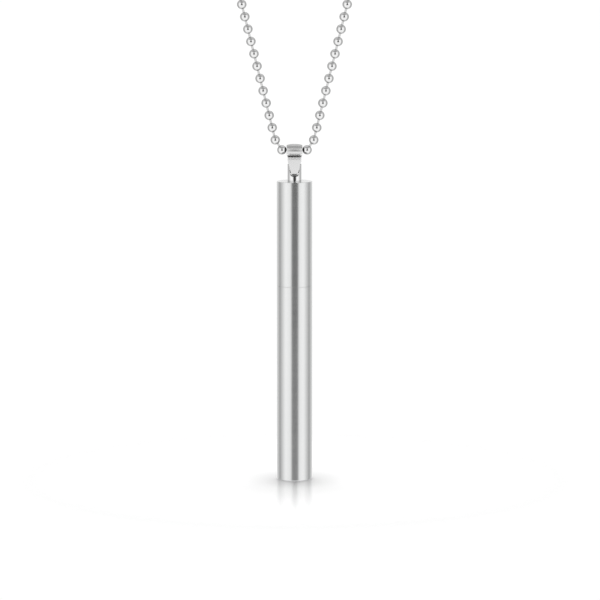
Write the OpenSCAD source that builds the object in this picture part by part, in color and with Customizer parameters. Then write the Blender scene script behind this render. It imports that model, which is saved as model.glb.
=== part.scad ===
// Case pendant: a two-part steel tube case that hangs by a folded bail from a ball chain.
// Millimetres, +Z up, -Y towards the viewer. The origin is under the clasp, where the chain hangs.

/* [Case] */
// Outside diameter of the case
case_d = 9; // [8.8:0.1:11]
// Length of the cap, above the seam
cap_len = 26.6; // [18:0.1:32]
// Length of the lower body, below the seam
body_len = 49.6; // [30:0.1:60]
// Wall of the lower body
body_wall = 0.7; // [0.6:0.05:0.8]
// Wall of the cap
cap_wall = 0.63; // [0.55:0.01:0.7]
// Thickness of the closed ends
end_wall = 1.2; // [0.8:0.1:2]
// Chamfer on the outer edges
edge = 0.1; // [0.05:0.01:0.15]
// Open joint between the cap and the lower body
seam_gap = 0.05; // [0.03:0.01:0.1]

/* [Thread] */
// Height of the neck that the cap screws onto
neck_h = 6; // [4:0.5:8]
// Distance from one ridge to the next
thread_pitch = 0.75; // [0.6:0.05:1]
// Depth of the ridges
thread_depth = 0.25; // [0.15:0.05:0.3]
// Neck's wall, measured to the tops of the ridges
neck_wall = 0.8; // [0.7:0.05:0.9]
// Radial play between the ridges and the cap's bore
thread_play = 0.07; // [0.05:0.01:0.1]

/* [Eye stud] */
// Diameter of the stud on the cap
stud_d = 3.6; // [3.4:0.1:3.8]
// Height of the stud above the cap
stud_h = 4.3; // [4.2:0.05:4.6]
// Diameter of the shank pressed through the cap's top
shank_d = 2; // [1.6:0.1:2.4]

/* [Bail] */
// Width of the barrel along the chain
barrel_w = 4; // [3.8:0.1:4]
// Thickness of the folded strip
strip = 0.36; // [0.3:0.02:0.4]
// Play between a bead and the barrel
barrel_play = 0.09; // [0.05:0.01:0.12]
// Depth of the crease under the barrel, below the barrel's axis
crease_z = 1.6; // [1.55:0.01:1.65]
// Depth of the bail's tip, below the barrel's axis
tip_z = 6.15; // [6.1:0.05:6.3]
// Inward slope of the two legs, in degrees
leg_slope = 9.5; // [7:0.5:11]
// Outside radius of the two bends at the bail's foot
foot_r = 0.7; // [0.6:0.05:0.9]

/* [Chain] */
// Diameter of a bead
bead_d = 2.4; // [2.3:0.05:2.4]
// Distance from bead to bead along the chain
bead_pitch = 3.2; // [3.1:0.05:3.4]
// Number of bead places round the loop
bead_places = 190; // [150:2:220]
// Diameter of the rods that link the beads
link_d = 0.56; // [0.5:0.02:0.6]
// Lean of the two strands from upright, in degrees
lean = 13.8; // [10:0.1:18]
// Half of the straight stretch that runs through the bail
flat_half = 2.4; // [2.3:0.05:2.6]
// Radius of the bend on each side of the bail
bend_r = 2.3; // [2.2:0.05:2.5]

/* [Clasp] */
// Outside diameter of the clasp's sleeve
clasp_d = 3.5; // [3.4:0.1:3.8]
// Length of the clasp's sleeve
clasp_len = 9.4; // [9.2:0.1:9.6]

/* [Hidden] */
$fn = 64;

// Ball chain: half of the loop runs flat, round a bend, up a strand and over the neck
bead_r = bead_d / 2;
hole_r = link_d / 2 + 0.12;
half_len = bead_places * bead_pitch / 2;
turn = 90 - lean;
sweep = 90 + lean;
bend_len = bend_r * turn * PI / 180;
bend_x = flat_half + bend_r * sin(turn);
bend_z = bend_r * (1 - cos(turn));
free_len = half_len - flat_half - bend_len;
loop_r = (bend_x + sin(lean) * free_len) / (cos(lean) + sin(lean) * sweep * PI / 180);
run = free_len - loop_r * sweep * PI / 180;
loop_z = bend_z + run * cos(lean) + loop_r * sin(lean);

// Clasp: the sleeve's axis lies level with the two end beads inside it
clasp_r = clasp_d / 2;
clasp_bore_r = bead_r + 0.15;
clasp_mouth_r = bead_r * 0.62;
clasp_lip = 0.4;
end_bead = bead_places / 2 - 1;
end_bead_drop = loop_r * (1 - cos(bead_pitch / loop_r * 180 / PI));

// Heights in the part's frame
bail_axis_z = clasp_r + end_bead_drop - loop_z - loop_r;
barrel_r_in = bead_r + barrel_play;
barrel_r = barrel_r_in + strip;
eye_play = 0.06;
eye_r = 1.4;
inner_reach = eye_r + eye_play;
outer_reach = inner_reach + strip;
eye_z = outer_reach - tip_z;
stud_top_z = -3.48;
cap_top_z = stud_top_z - stud_h;
seam_z = cap_top_z - cap_len;

// Folded bail, seen from the side: [depth, height] about the barrel's axis
neck_half = 0.38;
loop_top_z = -crease_z - 0.13;
shoulder_r = 0.42;
shoulder_z = loop_top_z - shoulder_r;
shoulder_tilt = 3;
leg_r = 6;
shoulder_y = (outer_reach - leg_r + (shoulder_z - eye_z) * sin(leg_slope)
    + (leg_r - shoulder_r) * cos(shoulder_tilt + leg_slope)) / cos(leg_slope);
shoulder = [shoulder_y, shoulder_z];
leg_centre = shoulder - (leg_r - shoulder_r) * [cos(shoulder_tilt), sin(shoulder_tilt)];
foot = [(outer_reach - foot_r) * (1 - sin(leg_slope)) / cos(leg_slope), foot_r - tip_z];

// Folded bail, seen from the front: half widths
shoulder_w = 1.72;
tip_w = 0.88;
tip_corner = 0.45;
eye_depth = 0.4;

// Case: radii
case_r = case_d / 2;
body_bore_r = case_r - body_wall;
cap_bore_r = case_r - cap_wall;
crest_r = cap_bore_r - thread_play;
root_r = crest_r - thread_depth;
neck_bore_r = crest_r - neck_wall;
neck_relief = 0.7;
neck_lead = 0.5;
ridges = floor((neck_h - neck_relief - neck_lead) / thread_pitch);
shoulder_below_seam = 1.2;

// Points on an arc about c, from angle a to angle b
function arc(c, r, a, b, steps) =
    [for (i = [0:steps]) c + r * [cos(a + (b - a) * i / steps), sin(a + (b - a) * i / steps)]];

// Eases from 0 to 1 as v goes from a to b
function ease(v, a, b) = let (t = max(0, min(1, (v - a) / (b - a)))) t * t * (3 - 2 * t);

// Half width of the bail's strip at a height below the barrel's axis
function strip_half_w(z) = let (
    waist = ease(-z, 0.95, 1.75), taper = ease(-z, 2.6, 5.7))
    barrel_w / 2 + (shoulder_w - barrel_w / 2) * waist + (tip_w - shoulder_w) * taper;

// Place on the chain's centre line at length s from the middle of the bail: [x, z, direction in degrees]
function chain_at(s) = let (
    u = abs(s),
    in_bend = (u - flat_half) / bend_r * 180 / PI,
    up_strand = u - flat_half - bend_len,
    round_loop = (up_strand - run) / loop_r * 180 / PI - lean,
    p = u <= flat_half ? [u, 0, 0]
      : up_strand <= 0 ? [flat_half + bend_r * sin(in_bend), bend_r * (1 - cos(in_bend)), in_bend]
      : up_strand <= run ? [bend_x + up_strand * sin(lean), bend_z + up_strand * cos(lean), turn]
      : [loop_r * cos(round_loop), loop_z + loop_r * sin(round_loop), 90 + round_loop])
    s < 0 ? [-p[0], p[1], -p[2]] : p;

// Side outline of a tube wall: ridge points [radius, height] up the neck
ridge_points = [for (i = [0:ridges - 1]) let (z = neck_relief + i * thread_pitch)
    each [[root_r, z], [crest_r, z + thread_pitch * 0.38],
          [crest_r, z + thread_pitch * 0.62], [root_r, z + thread_pitch]]];

// Groove points [radius, height] down the inside of the cap's mouth
groove_r = cap_bore_r + thread_depth * 0.8;
groove_points = [for (i = [ridges - 1:-1:0]) let (z = neck_relief + i * thread_pitch)
    each [[cap_bore_r, z + thread_pitch], [groove_r, z + thread_pitch * 0.62],
          [groove_r, z + thread_pitch * 0.38], [cap_bore_r, z]]];

// Lower body of the case: tube, closed end and threaded neck, turned from one bar
module case_body() {
    step_z = -shoulder_below_seam - (body_bore_r - neck_bore_r);
    color("silver") translate([0, 0, bail_axis_z + seam_z]) rotate_extrude() polygon(concat(
        [[0, -body_len], [case_r - edge, -body_len], [case_r, edge - body_len],
         [case_r, -edge], [case_r - edge, 0], [root_r, 0]],
        ridge_points,
        [[root_r, neck_h - 0.2], [root_r - 0.2, neck_h], [neck_bore_r, neck_h],
         [neck_bore_r, -shoulder_below_seam], [body_bore_r, step_z],
         [body_bore_r, end_wall - body_len], [0, end_wall - body_len]]));
}

// Cap of the case: tube with a grooved mouth and a closed top that the stud's shank goes through
module case_cap() {
    mouth = 0.15;
    shank_hole_r = shank_d / 2 + 0.02;
    color("silver") translate([0, 0, bail_axis_z + seam_z + seam_gap]) rotate_extrude() polygon(concat(
        [[cap_bore_r + mouth, 0], [case_r - edge, 0], [case_r, edge],
         [case_r, cap_len - seam_gap - edge], [case_r - edge, cap_len - seam_gap],
         [shank_hole_r, cap_len - seam_gap], [shank_hole_r, cap_len - seam_gap - end_wall],
         [cap_bore_r, cap_len - seam_gap - end_wall]],
        groove_points,
        [[cap_bore_r, mouth]]));
}

// Outline of the stud's eye, seen from the front, about the barrel's axis
module eye_outline() {
    bottom = -tip_z - eye_depth;
    top_half = 1.34;
    half = 1.06;
    corner = 0.6;
    polygon([[-top_half, eye_z], [top_half, eye_z], [half, bottom + corner], [-half, bottom + corner]]);
    for (x = [corner - half, half - corner]) translate([x, bottom + corner]) circle(corner);
    translate([corner - half, bottom]) square([2 * (half - corner), 2 * corner]);
}

// Stud on the cap: a round post with an eye from front to back under a rounded bar
module eye_stud() {
    color("gainsboro") translate([0, 0, bail_axis_z]) {
        difference() {
            union() {
                translate([0, 0, cap_top_z]) cylinder(d = stud_d, h = stud_h);
                translate([0, 0, cap_top_z - end_wall]) cylinder(d = shank_d, h = end_wall + 0.5);
            }
            difference() {
                union() {
                    translate([-stud_d, -stud_d, eye_z]) cube([2 * stud_d, 2 * stud_d, stud_h]);
                    rotate([90, 0, 0]) linear_extrude(2 * stud_d, center = true) eye_outline();
                }
                translate([0, 0, eye_z]) rotate([0, 90, 0]) cylinder(r = eye_r, h = 2 * stud_d, center = true);
            }
        }
    }
}

// Half of the bail's outline seen from the side, offset inwards by a thickness, from shoulder to tip
function leg_line(inset) = concat(
    arc(shoulder, max(shoulder_r - inset, 0.04), 90, shoulder_tilt, 5),
    arc(leg_centre, leg_r - inset, shoulder_tilt, -leg_slope, 4),
    arc(foot, foot_r - inset, -leg_slope, -90, 8));

// The same line mirrored to the far leg, in reverse order
function far_side(points) = [for (i = [len(points) - 1:-1:0]) [-points[i][0], points[i][1]]];

// The folded strip's shape from the side, at full width: barrel over a stirrup, pinched together between them
module folded_strip() {
    outer = concat([[neck_half, -barrel_r_in - strip / 2], [neck_half, loop_top_z]], leg_line(0));
    inner = leg_line(strip);
    difference() {
        union() {
            across_bail() circle(barrel_r);
            across_bail() polygon(concat(outer, far_side(outer)));
        }
        across_bail() circle(barrel_r_in);
        across_bail() polygon(concat(inner, far_side(inner)));
    }
}

// Draws a side outline out along the bail's width
module across_bail() {
    rotate([90, 0, 90]) linear_extrude(barrel_w, center = true) children();
}

// The strip's outline seen from the front: wide barrel, tapering tongue and rounded tip
module bail_front() {
    steps = 22;
    low = tip_corner - tip_z;
    side = [for (i = [0:steps]) let (z = barrel_r + (low - barrel_r) * i / steps) [strip_half_w(z), z]];
    tip = arc([tip_w - tip_corner, low], tip_corner, 0, -90, 6);
    half = concat([[barrel_w / 2, barrel_r + 0.1]], side, tip);
    polygon(concat(half, far_side(half)));
}

// Bail: a strip folded round the chain and through the stud's eye, its legs pinched under the barrel
module bail() {
    color("gainsboro") translate([0, 0, bail_axis_z]) intersection() {
        folded_strip();
        rotate([90, 0, 0]) linear_extrude(4 * barrel_r, center = true) bail_front();
    }
}

// One straight or curved stretch of each kind that the chain's line is made of
module rod(r, length) {
    rotate([0, 90, 0]) cylinder(r = r, h = length);
}

module curved_rod(r, radius, from, to) {
    rotate([90, 0, 0]) rotate(from) rotate_extrude(angle = to - from) translate([radius, 0]) circle(r);
}

// The chain's line from the bail to the start of a strand
module lower_line(r) {
    translate([-flat_half, 0, 0]) rod(r, 2 * flat_half);
    for (side = [0, 1]) mirror([side, 0, 0])
        translate([flat_half, 0, bend_r]) curved_rod(r, bend_r, -90, -lean);
}

// Beads: hollow balls in the real chain, here drilled for the links that run through them
module drilled_bead() {
    rotate([0, 90, 0]) rotate_extrude() difference() {
        intersection() {
            circle(bead_r);
            translate([0, -bead_r]) square([bead_r, bead_d]);
        }
        translate([0, -bead_r]) square([hole_r, bead_d]);
    }
}

module bead_chain() {
    color("whitesmoke") translate([0, 0, bail_axis_z]) {
        for (i = [-end_bead:end_bead]) let (p = chain_at(i * bead_pitch)) {
            if (abs(i) == 1) difference() {
                translate([p[0], 0, p[1]]) sphere(bead_r);
                lower_line(hole_r);
            }
            else translate([p[0], 0, p[1]]) rotate([0, -p[2], 0]) drilled_bead();
        }
    }
}

// Links: the rods that join the beads, drawn as long stretches that part inside a bead and end in the clasp
module chain_links() {
    part_gap = 0.15;
    strand_from = flat_half + bend_len + part_gap;
    last_on_strand = floor((flat_half + bend_len + run) / bead_pitch) * bead_pitch;
    loop_from = (last_on_strand + part_gap - flat_half - bend_len - run) / loop_r * 180 / PI - lean;
    loop_to = 90 - (bead_pitch - bead_r / 2) / loop_r * 180 / PI;
    start = chain_at(strand_from);
    color("lightgray") translate([0, 0, bail_axis_z]) {
        lower_line(link_d / 2);
        for (side = [0, 1]) mirror([side, 0, 0]) {
            translate([start[0], 0, start[1]]) rotate([0, -turn, 0])
                rod(link_d / 2, last_on_strand - strand_from);
            translate([0, 0, loop_z]) curved_rod(link_d / 2, loop_r, loop_from, loop_to);
        }
    }
}

// Clasp: a plain sleeve that holds the chain's two end beads
module chain_clasp() {
    half = clasp_len / 2;
    color("gainsboro") translate([0, 0, clasp_r]) rotate([0, 90, 0]) rotate_extrude() polygon([
        [clasp_mouth_r, half], [clasp_r - 0.2, half], [clasp_r, half - 0.2],
        [clasp_r, 0.2 - half], [clasp_r - 0.2, -half], [clasp_mouth_r, -half],
        [clasp_mouth_r, clasp_lip - half], [clasp_bore_r, clasp_lip - half],
        [clasp_bore_r, half - clasp_lip], [clasp_mouth_r, half - clasp_lip]]);
}

case_body();
case_cap();
eye_stud();
bail();
bead_chain();
chain_links();
chain_clasp();
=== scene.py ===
from math import asin, cos, pi, radians, sin, sqrt

import bpy
from mathutils import Matrix, Vector


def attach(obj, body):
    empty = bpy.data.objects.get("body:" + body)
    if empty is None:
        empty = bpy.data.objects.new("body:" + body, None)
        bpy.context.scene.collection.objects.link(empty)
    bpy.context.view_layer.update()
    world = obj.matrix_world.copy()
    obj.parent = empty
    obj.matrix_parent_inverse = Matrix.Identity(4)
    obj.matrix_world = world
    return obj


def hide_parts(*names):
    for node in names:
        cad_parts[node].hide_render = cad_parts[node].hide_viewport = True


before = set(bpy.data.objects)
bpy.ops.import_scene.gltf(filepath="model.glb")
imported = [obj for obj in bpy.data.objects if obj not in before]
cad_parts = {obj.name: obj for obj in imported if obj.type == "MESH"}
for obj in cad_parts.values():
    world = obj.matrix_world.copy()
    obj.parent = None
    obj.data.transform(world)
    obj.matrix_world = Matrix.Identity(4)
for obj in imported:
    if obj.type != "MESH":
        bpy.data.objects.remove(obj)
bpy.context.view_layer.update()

scene = bpy.context.scene

# Camera: a long lens a metre in front of the case and a little above it.
# It stands still on a tripod, so it has neither a shift nor a blur.
lens_mm = 236.3
camera_distance = 1.0
camera_rise = radians(7.47)
aim = Vector((0.00139, 0, -0.2998))
camera = bpy.data.objects.new("camera", bpy.data.cameras.new("camera"))
camera.data.sensor_width = 36
camera.data.lens = lens_mm
camera.data.clip_start = 0.05
camera.data.clip_end = 40
back = Vector((0, -cos(camera_rise), sin(camera_rise)))
camera.location = aim + back * camera_distance
camera.rotation_euler = (-back).to_track_quat("-Z", "Y").to_euler()
scene.collection.objects.link(camera)
scene.camera = camera


# Case: a slim tube turned from stainless steel bar, in two halves that screw together.
# The cap and the body are satin, with a fine grain that runs round the tube and rings on
# the flat ends. Their outer edges are just broken, and less so at the seam.
MM = 0.001
barrel_height = -261.68          # the bail's axis, from which the heights below are taken
case_r = 4.5
case_top = -269.46
seam = -296.06
case_bottom = -345.66
body_bore_r, neck_bore_r, cap_bore_r = 3.8, 3.0, 3.87
thread_root_r, neck_top = 3.55, seam + 6
end_wall = 1.2
edge_r = 0.1
seam_edge_r = 0.03
satin_tone = (0.65, 0.655, 0.655)


class Wire:
    """What a node puts out. Sums on it lay Math nodes on the same bench."""

    def __init__(self, bench, socket):
        self.bench, self.socket = bench, socket

    def other(self, name):
        return Wire(self.bench, self.socket.node.outputs[name])

    def sum(self, operation, a, b):
        return self.bench.lay("ShaderNodeMath", {"operation": operation}, {0: a, 1: b})

    def __add__(self, other):
        return self.sum("ADD", self, other)

    def __radd__(self, other):
        return self.sum("ADD", other, self)

    def __sub__(self, other):
        return self.sum("SUBTRACT", self, other)

    def __rsub__(self, other):
        return self.sum("SUBTRACT", other, self)

    def __mul__(self, other):
        return self.sum("MULTIPLY", self, other)

    def __rmul__(self, other):
        return self.sum("MULTIPLY", other, self)

    def __pow__(self, other):
        return self.sum("POWER", self, other)


class Bench:
    """Lays nodes in one tree: a node's type, its settings, then its sockets' values or wires."""

    def __init__(self, tree):
        self.tree = tree

    def lay(self, kind, settings=None, sockets=None, out=0):
        node = self.tree.nodes.new(kind)
        for name, value in (settings or {}).items():
            if name == "stops":
                ramp = node.color_ramp
                while len(ramp.elements) < len(value):
                    ramp.elements.new(1.0)
                for stop, (place, tone) in zip(ramp.elements, value):
                    stop.position, stop.color = place, (tone, tone, tone, 1)
            elif name == "blend":
                node.color_ramp.interpolation = value
            else:
                setattr(node, name, value)
        for name, value in (sockets or {}).items():
            if isinstance(value, Wire):
                self.tree.links.new(value.socket, node.inputs[name])
            else:
                node.inputs[name].default_value = value
        return Wire(self, node.outputs[out]) if node.outputs else None


def finish_bench(name):
    material = bpy.data.materials.new(name)
    material.use_nodes = True
    material.node_tree.nodes.clear()
    return material, Bench(material.node_tree)


def metal(bench, sockets):
    """Ends a finish with a bare metal shader that has these sockets."""
    shader = bench.lay("ShaderNodeBsdfPrincipled", {}, {"Metallic": 1.0, **sockets})
    bench.lay("ShaderNodeOutputMaterial", {}, {"Surface": shader})


def tinted(bench, tone, share):
    """The metal's tone, darkened or lightened all over by a share that changes over the surface."""
    return bench.lay("ShaderNodeVectorMath", {"operation": "SCALE"}, {0: tone, "Scale": share})


def from_axis(x):
    """How far a place is from the upright axis, from the wire of its X."""
    y = x.other("Y")
    return (x * x + y * y) ** 0.5


def ring_marks(bench, length, width, detail, seed):
    """Marks that run round the case's axis, on its wall and on its flat ends, this long and wide."""
    x = bench.lay("ShaderNodeSeparateXYZ", {}, {0: bench.lay("ShaderNodeTexCoord", out="Object")})
    reach = from_axis(x) + x.other("Z")
    stretched = bench.lay("ShaderNodeCombineXYZ", {}, {
        "X": x * (1 / length), "Y": x.other("Y") * (1 / length), "Z": reach * (1 / width) + seed})
    return bench.lay("ShaderNodeTexNoise", {}, {
        "Vector": stretched, "Scale": 1.0, "Detail": detail, "Roughness": 0.6})


def satin_steel(name, tone, seed):
    """Satin stainless steel with a turned grain, faint handling marks and a few wider tool rings."""
    material, bench = finish_bench(name)
    grain = ring_marks(bench, 7 * MM, 0.06 * MM, 3.0, seed)
    tool_rings = ring_marks(bench, 30 * MM, 1.2 * MM, 1.0, seed + 5)
    place = bench.lay("ShaderNodeTexCoord", out="Object")
    handling = bench.lay("ShaderNodeTexNoise", {}, {"Vector": place, "Scale": 160.0, "Detail": 4.0})
    share = 0.95 + grain * 0.06 + tool_rings * 0.02 + handling * 0.02
    roughness = 0.2 + grain * 0.05 + (tool_rings - 0.5) * 0.03 + (handling - 0.5) * 0.04
    bump = bench.lay("ShaderNodeBump", {}, {"Strength": 0.1, "Distance": 0.000002, "Height": grain})
    metal(bench, {"Base Color": tinted(bench, tone, share), "Roughness": roughness, "Normal": bump,
                  "Anisotropic": 0.6, "Anisotropic Rotation": 0.25})
    return material


def rounded(corners):
    """An outline of (radius, height). A corner with a third number is rounded by that much, and
    a close point on each side of the arc keeps the flats flat."""
    close, arc_steps = 1.8, 4
    line = []
    for i, (r, z, *cut) in enumerate(corners):
        if not cut:
            line.append((r, z))
            continue
        here = Vector((r, z))
        into = (Vector(corners[i - 1][:2]) - here).normalized()
        out = (Vector(corners[(i + 1) % len(corners)][:2]) - here).normalized()
        size = cut[0]
        centre = here + (into + out) * size
        line.append(tuple(here + into * size * close))
        for step in range(arc_steps + 1):
            turn = step / arc_steps * pi / 2
            line.append(tuple(centre - out * size * cos(turn) - into * size * sin(turn)))
        line.append(tuple(here + out * size * close))
    return line


def turned(name, outline, around=160, lie=Matrix.Identity(4)):
    """A turned part: an outline of (radius, height) in millimetres, spun about the case's axis."""
    points, rings = [], []
    for r, z in outline:
        if r < 1e-6:
            rings.append([len(points)] * around)
            points.append((0, 0, z * MM))
        else:
            rings.append(list(range(len(points), len(points) + around)))
            points += [(r * MM * cos(2 * pi * k / around), r * MM * sin(2 * pi * k / around), z * MM)
                       for k in range(around)]
    faces = []
    for low, high in zip(rings, rings[1:] + rings[:1]):
        for k in range(around):
            corners = list(dict.fromkeys(
                [low[k], low[(k + 1) % around], high[(k + 1) % around], high[k]]))
            if len(corners) > 2:
                faces.append(corners)
    return solid(name, points, faces, lie)


def solid(name, points, faces, lie=Matrix.Identity(4), sharp=40):
    """A piece from its points in metres and its faces, smooth but for edges sharper than an angle."""
    mesh = bpy.data.meshes.new(name)
    mesh.from_pydata(points, [], faces)
    mesh.transform(lie)
    mesh.validate()
    mesh.shade_smooth()
    mesh.set_sharp_from_angle(angle=radians(sharp))
    piece = bpy.data.objects.new(name, mesh)
    scene.collection.objects.link(piece)
    return piece


def dressed(piece, material, body, slot, *nodes):
    """Gives a piece its finish, the body it moves with and the nodes that it stands for."""
    piece.data.materials.clear()
    piece.data.materials.append(material)
    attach(piece, body)
    if nodes:
        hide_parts(*nodes)


body_satin = satin_steel("satin_body", satin_tone, 1.0)
cap_satin = satin_steel("satin_cap", satin_tone, 9.0)

case_body = turned("case_body_turned", rounded([
    (0, case_bottom), (case_r, case_bottom, edge_r), (case_r, seam, seam_edge_r),
    (thread_root_r, seam), (thread_root_r, neck_top - 0.25), (thread_root_r - 0.25, neck_top),
    (neck_bore_r + 0.1, neck_top), (neck_bore_r, neck_top - 0.1), (neck_bore_r, seam - 1.2),
    (body_bore_r, seam - 2), (body_bore_r, case_bottom + end_wall + 0.5),
    (body_bore_r - 0.5, case_bottom + end_wall), (0, case_bottom + end_wall)]))
dressed(case_body, body_satin, "case", "satin_steel", "case_body")

cap_mouth = seam + 0.02
mouth_relief_r = cap_bore_r + 0.2
case_cap = turned("case_cap_turned", rounded([
    (mouth_relief_r, cap_mouth), (case_r, cap_mouth, seam_edge_r), (case_r, case_top, edge_r),
    (1.02, case_top), (1.02, case_top - end_wall), (cap_bore_r - 0.5, case_top - end_wall),
    (cap_bore_r, case_top - end_wall - 0.5), (cap_bore_r, seam + 5.6), (mouth_relief_r, seam + 5.4)]))
dressed(case_cap, cap_satin, "cap", "satin_steel", "case_cap")


# Threads: one ridge wound round the neck of the body, and one inside the mouth of the cap, each in
# the steel of its half. Neither has a real thread's section: the neck's ridge is broad across the
# wall and thin along the axis, and the mouth's is a flat ribbon.
thread_pitch = 0.75
ridge_turns, ridge_low = 5.2, seam + 0.9
upper_breadth, lower_breadth = 0.62, 0.2


def thread_tree():
    """Winds a bar of trapezoid section round the axis. It tapers off over a third of a turn at
    each end."""
    tree = bpy.data.node_groups.new("wound_ridge", "GeometryNodeTree")
    face = tree.interface
    face.new_socket("Geometry", in_out="INPUT", socket_type="NodeSocketGeometry")
    for name in ("Radius", "Height", "Turns", "Thickness", "Upper Breadth", "Lower Breadth"):
        face.new_socket(name, in_out="INPUT", socket_type="NodeSocketFloat")
    face.new_socket("Finish", in_out="INPUT", socket_type="NodeSocketMaterial")
    face.new_socket("Geometry", in_out="OUTPUT", socket_type="NodeSocketGeometry")
    bench = Bench(tree)
    given = bench.lay("NodeGroupInput")
    coil = bench.lay("GeometryNodeCurveSpiral", {}, {
        "Resolution": 72, "Rotations": given.other("Turns"), "Start Radius": given.other("Radius"),
        "End Radius": given.other("Radius"), "Height": given.other("Height")})
    wound = bench.lay("GeometryNodeSetCurveNormal", {"mode": "Z_UP"}, {"Curve": coil})
    along = bench.lay("GeometryNodeSplineParameter")
    tapers_a_turn, thinnest = 3.0, 0.02
    taper = bench.lay("ShaderNodeMath", {"operation": "MINIMUM"}, {
        0: along * given.other("Turns") * tapers_a_turn,
        1: (1.0 - along) * given.other("Turns") * tapers_a_turn})
    share = bench.lay("ShaderNodeMath", {"operation": "MINIMUM"}, {0: taper + thinnest, 1: 1.0})
    ridge = bench.lay("GeometryNodeCurvePrimitiveQuadrilateral", {"mode": "TRAPEZOID"}, {
        "Bottom Width": given.other("Upper Breadth"), "Top Width": given.other("Lower Breadth"),
        "Height": given.other("Thickness"), "Offset": 0.0})
    swept = bench.lay("GeometryNodeCurveToMesh", {}, {
        "Curve": wound, "Profile Curve": ridge, "Scale": share, "Fill Caps": True})
    whole = bench.lay("GeometryNodeRealizeInstances", {}, {"Geometry": swept})
    finished = bench.lay("GeometryNodeSetMaterial", {}, {
        "Geometry": whole, "Material": given.other("Finish")})
    bench.lay("NodeGroupOutput", {}, {"Geometry": finished})
    return tree


def kept(piece, modifier):
    """Keeps what a modifier makes of a piece as its plain mesh."""
    bpy.context.view_layer.update()
    made = piece.evaluated_get(bpy.context.evaluated_depsgraph_get())
    mesh = bpy.data.meshes.new_from_object(made)
    piece.modifiers.remove(modifier)
    piece.data = mesh
    return piece


def grown(name, tree, seed_mesh, inputs):
    """Runs a tree on a mesh, with these inputs."""
    holder = bpy.data.objects.new(name, seed_mesh)
    scene.collection.objects.link(holder)
    modifier = holder.modifiers.new(name, "NODES")
    modifier.node_group = tree
    for socket in tree.interface.items_tree:
        if socket.in_out == "INPUT" and socket.name in inputs:
            modifier[socket.identifier] = inputs[socket.name]
    return kept(holder, modifier)


wound_ridge = thread_tree()
for name, finish, body, middle_r, thickness in (
        ("neck_thread", body_satin, "case", 3.655, 0.29),
        ("mouth_thread", cap_satin, "cap", 3.99, 0)):
    ridge = grown(name, wound_ridge, bpy.data.meshes.new(name), {
        "Radius": middle_r * MM, "Height": ridge_turns * thread_pitch * MM, "Turns": ridge_turns,
        "Thickness": thickness * MM, "Upper Breadth": upper_breadth * MM,
        "Lower Breadth": lower_breadth * MM, "Finish": finish})
    ridge.data.transform(Matrix.Translation((0, 0, ridge_low * MM)))
    dressed(ridge, finish, body, "satin_steel")


# Eye stud: a polished round post pressed into the cap, with an eye filed through it from
# front to back under a rounded bar. The bail goes through the eye, and the bar hangs in it.
stud_r = 1.8
stud_top = barrel_height - 3.48
stud_foot = case_top
bar_r = 1.4
bar_height = barrel_height - 4.33
eye_bottom = barrel_height - 6.5
eye_half, eye_half_top, eye_corner = 1.06, 1.34, 0.6
lie_across = Matrix.Rotation(pi / 2, 4, "Y")
polish_tone = (0.72, 0.72, 0.72)


def softly(bench, value, start, end):
    """Goes softly from 0 to 1 as a wire's value goes from start to end."""
    return bench.lay("ShaderNodeMapRange", {"interpolation_type": "SMOOTHSTEP"}, {
        "Value": value, "From Min": start, "From Max": end})


def eye_painted_shade(bench, place):
    """Painted shade inside the eye: within the stud's outer wall the steel is made dark and not
    metallic, so the eye reads as shadow.
    """
    reach = from_axis(bench.lay("ShaderNodeSeparateXYZ", {}, {0: place}))
    eye_shade = softly(bench, reach, (stud_r - 0.01) * MM, (stud_r - 0.07) * MM)
    return 1.0 - eye_shade * 0.9, 1.0 - eye_shade


def straight_marks(bench, place, marks_a_metre, seed):
    """Fine straight scratches, with so many of them to a metre along each axis."""
    laid = bench.lay("ShaderNodeMapping", {}, {
        0: place, "Scale": marks_a_metre, "Location": (seed, seed, seed)})
    return bench.lay("ShaderNodeTexNoise", {}, {
        "Vector": laid, "Scale": 1.0, "Detail": 2.0, "Roughness": 0.6})


def polished_steel(name, tone, roughness, scratch, rim=1.0, smear=0.0, painted_light=None):
    """Polished steel: clear reflections with hairline scratches and a little haze in patches.
    The rim is how bright it stays where it turns away, and the smear how far a rolled strip
    spreads its reflections across its width. Painted light and shade laid on it later give their
    own share of the tone and of the shine at each place."""
    material, bench = finish_bench(name)
    place = bench.lay("ShaderNodeTexCoord", out="Object")
    haze = bench.lay("ShaderNodeTexNoise", {}, {"Vector": place, "Scale": 700.0, "Detail": 3.0})
    one_way = straight_marks(bench, place, (2600.0, 2600.0, 26000.0), 3.0)
    other_way = straight_marks(bench, place, (21000.0, 2100.0, 5200.0), 7.0)
    hairlines = bench.lay("ShaderNodeMath", {"operation": "MAXIMUM"}, {0: one_way, 1: other_way})
    marks = bench.lay("ShaderNodeValToRGB", {"stops": [(0.6, 0.0), (0.75, 1.0)]}, {0: hairlines})
    bump = bench.lay("ShaderNodeBump", {}, {"Strength": 0.12, "Distance": 0.000002, "Height": marks})
    share = 1.02 - marks * 0.06 - haze * 0.03
    gloss = roughness + marks * scratch + (haze - 0.5) * 0.06
    shine = 1.0
    if painted_light:
        tone_share, shine = painted_light(bench, place)
        share = share * tone_share
    metal(bench, {"Base Color": tinted(bench, tone, share), "Roughness": gloss, "Normal": bump,
                  "Metallic": shine, "Specular IOR Level": 0.0, "Specular Tint": (rim, rim, rim, 1),
                  "Anisotropic": smear})
    return material


def cut_with(base, tool):
    """Takes one shape away from another."""
    cut = base.modifiers.new("cut", "BOOLEAN")
    cut.operation, cut.object, cut.solver = "DIFFERENCE", tool, "EXACT"
    kept(base, cut)
    bpy.data.objects.remove(tool)
    return base


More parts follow.
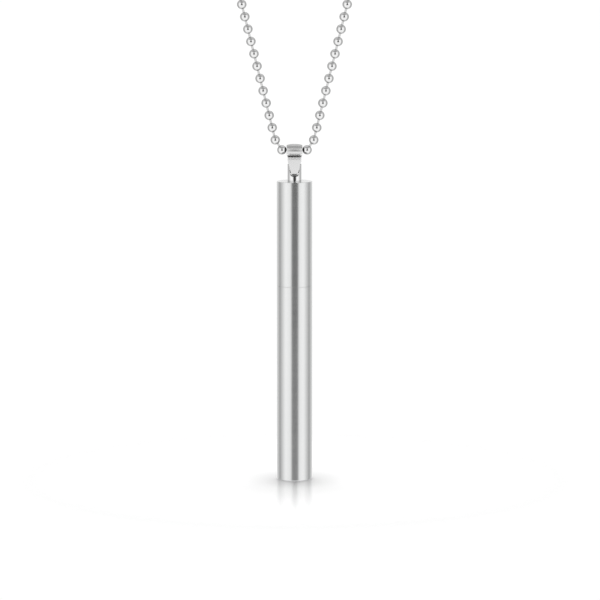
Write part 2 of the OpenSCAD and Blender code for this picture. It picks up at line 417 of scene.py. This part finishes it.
def prism(name, outline, low, high):
    """A flat outline of (x, z) in millimetres, drawn out from front to back."""
    count = len(outline)
    points = [(x * MM, y * MM, z * MM) for y in (low, high) for x, z in outline]
    ends = [tuple(range(count - 1, -1, -1)), tuple(range(count, 2 * count))]
    sides = [(i, (i + 1) % count, count + (i + 1) % count, count + i) for i in range(count)]
    return solid(name, points, ends + sides)


def eye_bar():
    """The round bar across the top of the eye, longer than the stud is wide."""
    half = 4
    lie = Matrix.Translation((0, 0, bar_height * MM)) @ lie_across
    return turned("bar", [(0, -half), (bar_r, -half), (bar_r, half), (0, half)], 128, lie)


post = turned("eye_stud_polished", rounded([
    (0, stud_foot + 0.001), (stud_r, stud_foot + 0.001), (stud_r, stud_top, 0.12), (0, stud_top)]), 96)
past_stud, past_top = 3, stud_top + 2
above = prism("above_eye", [(-past_stud, bar_height), (past_stud, bar_height), (past_stud, past_top),
                            (-past_stud, past_top)], -past_stud, past_stud)
eye_outline = [(eye_half_top, bar_height + 0.4), (eye_half_top, bar_height)]
eye_outline += [(eye_half - eye_corner + eye_corner * cos(radians(turn)),
                 eye_bottom + eye_corner + eye_corner * sin(radians(turn)))
                for turn in range(0, -91, -15)]
eye_outline += [(-x, z) for x, z in reversed(eye_outline)]
opening = prism("eye_opening", list(reversed(eye_outline)), -past_stud, past_stud)
# Above the bar's middle only the bar is left, and below it the eye is cut round the bar.
cut_with(post, cut_with(above, eye_bar()))
cut_with(post, cut_with(opening, eye_bar()))
post.data.shade_smooth()
post.data.set_sharp_from_angle(angle=radians(35))
soften = post.modifiers.new("soften", "BEVEL")
soften.width, soften.segments = 0.05 * MM, 2
soften.limit_method, soften.angle_limit = "ANGLE", radians(35)
soften.harden_normals = True
kept(post, soften)
# The eye inside the stud gets a painted shade.
stud_finish = polished_steel("polished_stud", polish_tone, 0.07, 0.12, painted_light=eye_painted_shade)
dressed(post, stud_finish, "cap", "polished_steel", "eye_stud")


# Bail: one strip of steel, bent round the chain as a barrel, pinched under it, and brought down
# in front of the stud and behind it to a tongue that closes under the eye's bar. Softly polished.
barrel_r, barrel_bore_r, strip = 1.65, 1.29, 0.36
outer_wrap, inner_wrap = 166.7, 179.3
barrel_half, barrel_crown = 2.0, 0.3
pinch_half, inner_half, inner_top, inner_low = 0.38, 0.012, -1.6, -1.95
shoulder_top = -1.66
shoulder_at = Vector((1.77, -2.04))
shoulder_r, shoulder_tilt, leg_slope, leg_r = 0.45, -6, 9.5, 6.0
leg_half, waist, taper = 1.72, (0.95, 1.75), (2.6, 5.7)
bend_reach, foot_r = 1.82, 0.5
tip_half, tip_corner, tip_low = 0.88, 0.45, -6.18
strip_edge = 0.09
bail_tone = (0.65, 0.65, 0.65)
# Painted light on the bail: depths under the barrel's axis where the bends get a painted sheen and the
# crease between them a painted shade, and how strong each is.
bends, bend_sheen_share = (0.75, 0.95, 1.9, 2.3), 0.4
crease, crease_shade_share = (1.12, 1.38, 1.62), 0.95


def bend_sheen_and_crease_shade(bench, place):
    """Painted light at the pinch: a painted sheen brightens the two bends, and a painted shade darkens
    the crease between them.
    """
    depth = barrel_height * MM - bench.lay("ShaderNodeSeparateXYZ", {}, {0: place}).other("Z")
    (first, full, fading, last), (closing, deep, opening) = (
        [value * MM for value in depths] for depths in (bends, crease))
    painted_sheen = softly(bench, depth, first, full) * softly(bench, depth, last, fading)
    painted_crease_shade = softly(bench, depth, closing, deep) * softly(bench, depth, opening, deep)
    return (1.0 + painted_sheen * bend_sheen_share) * (1.0 - painted_crease_shade * crease_shade_share), 1.0


def eased(value, start, end):
    """Goes softly from 0 to 1 as a number goes from start to end."""
    t = max(0.0, min(1.0, (value - start) / (end - start)))
    return t * t * (3 - 2 * t)


def half_width(z):
    """Half of the strip's width at a height under the barrel's axis: it narrows at the waist under
    the barrel, tapers down the legs, and ends in a rounded tip."""
    half = (barrel_half + (leg_half - barrel_half) * eased(-z, *waist)
            + (tip_half - leg_half) * eased(-z, *taper))
    drop = max(0.0, tip_low + tip_corner - z)
    return half - tip_corner + sqrt(max(0.0, tip_corner ** 2 - drop ** 2))


def arc_pair(centre, radius, start, end, steps, thickness):
    """Outer and inner points along an arc, in the side view."""
    pairs = []
    for i in range(steps + 1):
        turn = radians(start + (end - start) * i / steps)
        way = Vector((cos(turn), sin(turn)))
        pairs.append((centre + way * radius, centre + way * (radius - thickness)))
    return pairs


def back_half_of_strip():
    """Pairs of (outer, inner) points from the top of the barrel down the far side to the tip."""
    pairs, wrap_steps = [], 30
    for i in range(wrap_steps + 1):
        outer_turn = radians(90 - outer_wrap * i / wrap_steps)
        inner_turn = radians(90 - inner_wrap * i / wrap_steps)
        pairs.append((Vector((cos(outer_turn), sin(outer_turn))) * barrel_r,
                      Vector((cos(inner_turn), sin(inner_turn))) * barrel_bore_r))
    for outer, inner in (
            ((pinch_half, shoulder_top + 0.05), (inner_half, inner_top)),
            ((pinch_half, shoulder_top), (inner_half, inner_low)),
            ((pinch_half + 0.1, shoulder_top), (inner_half + 0.06, shoulder_top - strip))):
        pairs.append((Vector(outer), Vector(inner)))
    for share in (0.35, 0.7):
        y = pinch_half + (shoulder_at.x - pinch_half) * share
        z = shoulder_top + (shoulder_at.y + shoulder_r - shoulder_top) * share
        pairs.append((Vector((y, z)), Vector((y - 0.1, z - strip))))
    pairs += arc_pair(shoulder_at, shoulder_r, 90, shoulder_tilt, 8, strip)
    tilt = radians(shoulder_tilt)
    leg_at = shoulder_at - (leg_r - shoulder_r) * Vector((cos(tilt), sin(tilt)))
    pairs += arc_pair(leg_at, leg_r, shoulder_tilt, -leg_slope, 10, strip)[1:]
    slope = radians(leg_slope)
    foot_at = Vector(((bend_reach - foot_r) * (1 - sin(slope)) / cos(slope), tip_low + foot_r))
    pairs += arc_pair(foot_at, foot_r, -leg_slope, -90, 10, strip)
    pairs.append((Vector((0, tip_low)), Vector((0, tip_low + strip))))
    return pairs


def strip_ring(outer, inner, crown):
    """Points round the strip at one station: two faces across its width and four soft corners.
    The crown draws both faces in towards the strip's edges, as on a barrel."""
    thick = (outer - inner).length
    away = (outer - inner) / thick
    wide, wide_in = half_width(outer.y), half_width(inner.y)
    e = min(strip_edge, 0.3 * thick)
    flat = [(f * (wide - e), thick) for f in (-1, -0.85, -0.6, -0.3, 0, 0.3, 0.6, 0.85, 1)]
    top = [(wide - e + e * cos(a), thick - e + e * sin(a)) for a in map(radians, (60, 30))]
    side = [(wide, thick - e), (wide_in, e)]
    low = [(wide_in - e + e * cos(a), e + e * sin(a)) for a in map(radians, (-30, -60))]
    under = [(f * (wide_in - e), 0.0) for f in (1, 0.6, 0.2)]
    right = top + side + low + under
    ring = flat + right + [(-x, v) for x, v in reversed(right)]
    ring = [(x, v - crown * abs(x / barrel_half) ** 2.5) for x, v in ring]
    return [(x, inner.x + away.x * v, inner.y + away.y * v) for x, v in ring]


strip_pairs = back_half_of_strip()
strip_pairs += [(Vector((-o.x, o.y)), Vector((-i.x, i.y))) for o, i in reversed(strip_pairs[1:-1])]
strip_points, strip_faces = [], []
for outer, inner in strip_pairs:
    crown = barrel_crown * (1 - eased(-outer.y, 0.9, 1.6))
    strip_points += [(x * MM, y * MM, (z + barrel_height) * MM)
                     for x, y, z in strip_ring(outer, inner, crown)]
ring_size = len(strip_points) // len(strip_pairs)
for i in range(len(strip_pairs)):
    here, there = i * ring_size, (i + 1) % len(strip_pairs) * ring_size
    strip_faces += [(here + k, here + (k + 1) % ring_size, there + (k + 1) % ring_size, there + k)
                    for k in range(ring_size)]
bail = solid("bail_folded", strip_points, strip_faces, sharp=48)
# The bail's finish carries the painted sheen on the bends and the painted shade in the crease.
bail_finish = polished_steel("polished_bail", bail_tone, 0.34, 0.03, 0.8, 0.85, painted_light=bend_sheen_and_crease_shade)
dressed(bail, bail_finish, "bail", "bail_steel", "bail")


# Ball chain: hollow steel beads pressed round the headed ends of short rods, polished.
# The loop runs through the bail's barrel, up two straight strands and round over the neck.
bead_r, bead_hole_r, bead_pitch, bead_places = 1.2, 0.4, 3.2, 190
bead_end, bead_rim = 0.95, 0.06
rod_r, rod_half = 0.28, 0.9
lean = radians(13.8)
flat_half, chain_bend_r = 2.4, 2.3
# The rods' tone is darker than the beads', though both are the same steel: a painted shade for where
# the rods sit between the beads.
bead_tone, rod_shaded_tone = (0.7, 0.7, 0.7), (0.54, 0.54, 0.54)

bend_turn = pi / 2 - lean
bend_length = chain_bend_r * bend_turn
bend_x = flat_half + chain_bend_r * sin(bend_turn)
bend_z = chain_bend_r * (1 - cos(bend_turn))
free_length = bead_places * bead_pitch / 2 - flat_half - bend_length
loop_r = (bend_x + sin(lean) * free_length) / (cos(lean) + sin(lean) * (pi / 2 + lean))
strand = free_length - loop_r * (pi / 2 + lean)
loop_z = bend_z + strand * cos(lean) + loop_r * sin(lean)


def chain_place(s):
    """The chain's line at a length s from the middle of the bail, in the part's frame."""
    u = abs(s)
    if u <= flat_half:
        x, z = u, 0
    elif u <= flat_half + bend_length:
        turn = (u - flat_half) / chain_bend_r
        x, z = flat_half + chain_bend_r * sin(turn), chain_bend_r * (1 - cos(turn))
    elif u <= flat_half + bend_length + strand:
        up = u - flat_half - bend_length
        x, z = bend_x + up * sin(lean), bend_z + up * cos(lean)
    else:
        turn = (u - flat_half - bend_length - strand) / loop_r - lean
        x, z = loop_r * cos(turn), loop_z + loop_r * sin(turn)
    return Vector((x if s > 0 else -x, 0, z + barrel_height)) * MM


def chain_tree(name, on_edges):
    """Sets one bead at each point of a line, or one rod on each stretch between two points."""
    tree = bpy.data.node_groups.new(name, "GeometryNodeTree")
    face = tree.interface
    face.new_socket("Geometry", in_out="INPUT", socket_type="NodeSocketGeometry")
    face.new_socket("Part", in_out="INPUT", socket_type="NodeSocketObject")
    face.new_socket("Finish", in_out="INPUT", socket_type="NodeSocketMaterial")
    face.new_socket("Geometry", in_out="OUTPUT", socket_type="NodeSocketGeometry")
    bench = Bench(tree)
    given = bench.lay("NodeGroupInput")
    part = bench.lay("GeometryNodeObjectInfo", {}, {"Object": given.other("Part")}, out="Geometry")
    if on_edges:
        ends = bench.lay("GeometryNodeInputMeshEdgeVertices", out="Position 1")
        way = bench.lay("ShaderNodeVectorMath", {"operation": "SUBTRACT"}, {
            0: ends.other("Position 2"), 1: ends})
        carried = bench.lay("GeometryNodeCaptureAttribute", {"domain": "EDGE"}, {
            "Geometry": given.other("Geometry")})
        item = carried.socket.node.capture_items.new("VECTOR", "way")
        tree.links.new(way.socket, carried.socket.node.inputs[item.name])
        heading = carried.other(item.name)
        places = bench.lay("GeometryNodeMeshToPoints", {"mode": "EDGES"}, {"Mesh": carried})
    else:
        places = bench.lay("GeometryNodeMeshToCurve", {}, {"Mesh": given.other("Geometry")})
        heading = bench.lay("GeometryNodeInputTangent")
    turn = bench.lay("FunctionNodeAlignRotationToVector", {"axis": "Z"}, {"Vector": heading})
    threaded = bench.lay("GeometryNodeInstanceOnPoints", {}, {
        "Points": places, "Instance": part, "Rotation": turn})
    whole = bench.lay("GeometryNodeRealizeInstances", {}, {"Geometry": threaded})
    finished = bench.lay("GeometryNodeSetMaterial", {}, {
        "Geometry": whole, "Material": given.other("Finish")})
    bench.lay("NodeGroupOutput", {}, {"Geometry": finished})
    return tree


bead_finish = polished_steel("polished_beads", bead_tone, 0.03, 0.05, 0.35)
# The rods wear a painted shade, darker than the beads' steel.
rod_finish = polished_steel("shaded_rods", rod_shaded_tone, 0.25, 0.1, 0.4)
bead_facets, bead_around, rod_around = 7, 12, 8
hole_turn = asin(bead_hole_r / bead_r)
bead_turns = [hole_turn + (pi - 2 * hole_turn) * i / bead_facets for i in range(bead_facets + 1)]
bead_side = [(bead_r * sin(turn), -bead_r * cos(turn)) for turn in bead_turns]
bead_part = turned("bead", [(bead_hole_r - bead_rim, -bead_end)] + bead_side
                   + [(bead_hole_r - bead_rim, bead_end)], bead_around)
rod_part = turned("rod", [(0, -rod_half), (rod_r, -rod_half), (rod_r * 0.9, 0), (rod_r, rod_half),
                          (0, rod_half)], rod_around)
last_bead = bead_places // 2 - 1
count = 2 * last_bead + 1
for name, part, on_edges, finish, node in (
        ("beads", bead_part, False, bead_finish, "bead_chain"),
        ("rods", rod_part, True, rod_finish, "chain_links")):
    line = bpy.data.meshes.new(name + "_line")
    line.from_pydata([chain_place((i - last_bead) * bead_pitch) for i in range(count)],
                     [(i, i + 1) for i in range(count - 1)], [])
    strung = grown(name, chain_tree("strung_" + name, on_edges), line, {"Part": part, "Finish": finish})
    dressed(strung, finish, "chain", "bead_steel", node)
bpy.data.objects.remove(bead_part)
bpy.data.objects.remove(rod_part)


# Clasp: hidden behind the neck in use. A plain sleeve of drawn tube whose narrowed mouths
# hold the chain's two end beads.
clasp_half, clasp_r, clasp_bore_r, clasp_mouth_r, clasp_lip = 4.7, 1.75, 1.35, 0.744, 0.4
clasp = turned("clasp_sleeve", rounded([
    (clasp_mouth_r, -clasp_half), (clasp_r, -clasp_half, 0.2), (clasp_r, clasp_half, 0.2),
    (clasp_mouth_r, clasp_half), (clasp_mouth_r, clasp_half - clasp_lip),
    (clasp_bore_r, clasp_half - clasp_lip), (clasp_bore_r, clasp_lip - clasp_half),
    (clasp_mouth_r, clasp_lip - clasp_half)]), 64,
    Matrix.Translation((0, 0, clasp_r * MM)) @ lie_across)
clasp_finish = polished_steel("polished_clasp", bead_tone, 0.16, 0.1)
dressed(clasp, clasp_finish, "chain", "bead_steel", "chain_clasp")


# Floor: a sheet of white acrylic that the case just meets. It has a faint gloss near the case,
# and further out it fades into the white round it. The metal doesn't mirror it.
sheet_half, sheet_gap = 0.2, 0.00005
sheet_tone = (0.334, 0.334, 0.334)
floor_top = case_bottom * MM - sheet_gap
sheet_corners = [(-sheet_half, -sheet_half, floor_top), (sheet_half, -sheet_half, floor_top),
                 (sheet_half, sheet_half, floor_top), (-sheet_half, sheet_half, floor_top)]
sheet = solid("floor_sheet", sheet_corners, [(0, 1, 2, 3)])
white_acrylic, bench = finish_bench("white_acrylic")
place = bench.lay("ShaderNodeTexCoord", out="Object")
from_case = from_axis(bench.lay("ShaderNodeSeparateXYZ", {}, {0: place}))
gloss_share = (1.0 - softly(bench, from_case, 0.01, 0.065)) * 0.3
sheet_share = 1.0 - softly(bench, from_case, 0.04, 0.075)
# Painted shadow: the sheet's colour is darker right round the case, and a little lighter further out,
# which keeps it evenly white where the lamps fall off.
whiteness_and_painted_shadow = (0.86 + softly(bench, from_case, 0.005, 0.016) * 0.14
             + softly(bench, from_case, 0.03, 0.065) * 0.08)
matt = bench.lay("ShaderNodeBsdfPrincipled", {}, {
    "Base Color": tinted(bench, sheet_tone, whiteness_and_painted_shadow), "Roughness": 1.0, "Specular IOR Level": 0.0})
gloss = bench.lay("ShaderNodeBsdfGlossy", {}, {"Color": (1, 1, 1, 1), "Roughness": 0.12})
lit = bench.lay("ShaderNodeMixShader", {}, {0: gloss_share, 1: matt, 2: gloss})
clear = bench.lay("ShaderNodeBsdfTransparent", {}, {"Color": (1, 1, 1, 1)})
bench.lay("ShaderNodeOutputMaterial", {}, {
    "Surface": bench.lay("ShaderNodeMixShader", {}, {0: sheet_share, 1: clear, 2: lit})})
sheet.data.materials.append(white_acrylic)
sheet.visible_glossy = False


# Light: two broad soft boxes to the left and right of the camera, with a dark gap between them
# where it stands, narrower higher up. Behind the case is a wall in half shade, and overhead a
# ceiling that is dimmer in front.
light_strength = 1.31
sheet_gain = 3.0                 # the sheet gets this much more light than the metal mirrors
backdrop = 1.02                  # what the camera sees round the sheet is white
gap_turn = radians(2.5)          # the gap stands a little to the right of the case
gap_dark = 0.95
world = bpy.data.worlds.new("studio")
scene.world = world
world.use_nodes = True
world.node_tree.nodes.clear()
bench = Bench(world.node_tree)


def shaded(value, start, end):
    """Eases from 0 to 1 as a wire's value goes from start to end, in degrees."""
    return softly(bench, value, radians(start), radians(end))


def by_turn(*stops):
    """A tone for each turn from the front, in degrees, the same to the left and to the right."""
    return bench.lay("ShaderNodeValToRGB", {
        "blend": "LINEAR", "stops": [(turn / 180, tone) for turn, tone in stops]},
        {0: from_front * (1 / pi)})


x = bench.lay("ShaderNodeSeparateXYZ", {}, {0: bench.lay("ShaderNodeTexCoord", out="Generated")})
turn = bench.lay("ShaderNodeMath", {"operation": "ARCTAN2"}, {0: x, 1: x.other("Y") * -1.0})
rise = bench.lay("ShaderNodeMath", {"operation": "ARCSINE"}, {0: x.other("Z")})
from_front = bench.lay("ShaderNodeMath", {"operation": "ABSOLUTE"}, {0: turn})
from_gap = bench.lay("ShaderNodeMath", {"operation": "ABSOLUTE"}, {0: turn - gap_turn})
gap_slimness = shaded(rise, 4, 20) * 0.9 + 1.0
gap = (1.0 - shaded(from_gap * gap_slimness, 14, 31)) * shaded(rise, -24, -6) * gap_dark
boxes = by_turn((0, 0.9), (30, 0.92), (46, 0.97), (55, 1.0), (62, 0.99), (72, 0.88), (84, 0.71),
                (95, 0.58), (104, 0.44), (114, 0.4), (122, 0.52), (130, 0.6), (145, 0.69), (180, 0.77))
ceiling = by_turn((0, 0.34), (60, 0.4), (100, 0.52), (130, 0.66), (180, 0.66))
ceiling_share = shaded(rise, 32, 50)
tone = boxes * (1.0 - gap) * (1.0 - ceiling_share) + ceiling * ceiling_share
seen = bench.lay("ShaderNodeLightPath", out="Is Camera Ray")
gain = seen.other("Is Diffuse Ray") * (sheet_gain - 1) + 1.0
strength = tone * gain * light_strength * (1.0 - seen) + seen * backdrop
glow = bench.lay("ShaderNodeBackground", {}, {"Color": (1, 1, 1, 1), "Strength": strength})
bench.lay("ShaderNodeOutputWorld", {}, {"Surface": glow})


# Overhead lamps: two round soft lamps high up behind the case, to its left and right, which
# light the sheet alone and give the case its short shadow towards the viewer.
lamp_r, lamp_away, lamp_rise, lamp_turn = 0.07, 0.5, radians(79), radians(20)
lamp_watts = 1.5
for name, side in (("overhead_left", -1), ("overhead_right", 1)):
    lamp = bpy.data.objects.new(name, bpy.data.lights.new(name, "AREA"))
    lamp.data.shape = "DISK"
    lamp.data.size = lamp_r * 2
    lamp.data.energy = lamp_watts
    way = Vector((side * sin(lamp_turn) * cos(lamp_rise), cos(lamp_turn) * cos(lamp_rise),
                  sin(lamp_rise)))
    lamp.location = way * lamp_away + Vector((0, 0, floor_top))
    lamp.rotation_euler = way.to_track_quat("Z", "Y").to_euler()
    lamp.visible_glossy = False
    lamp.visible_camera = False
    scene.collection.objects.link(lamp)

scene.view_settings.view_transform = "Standard"
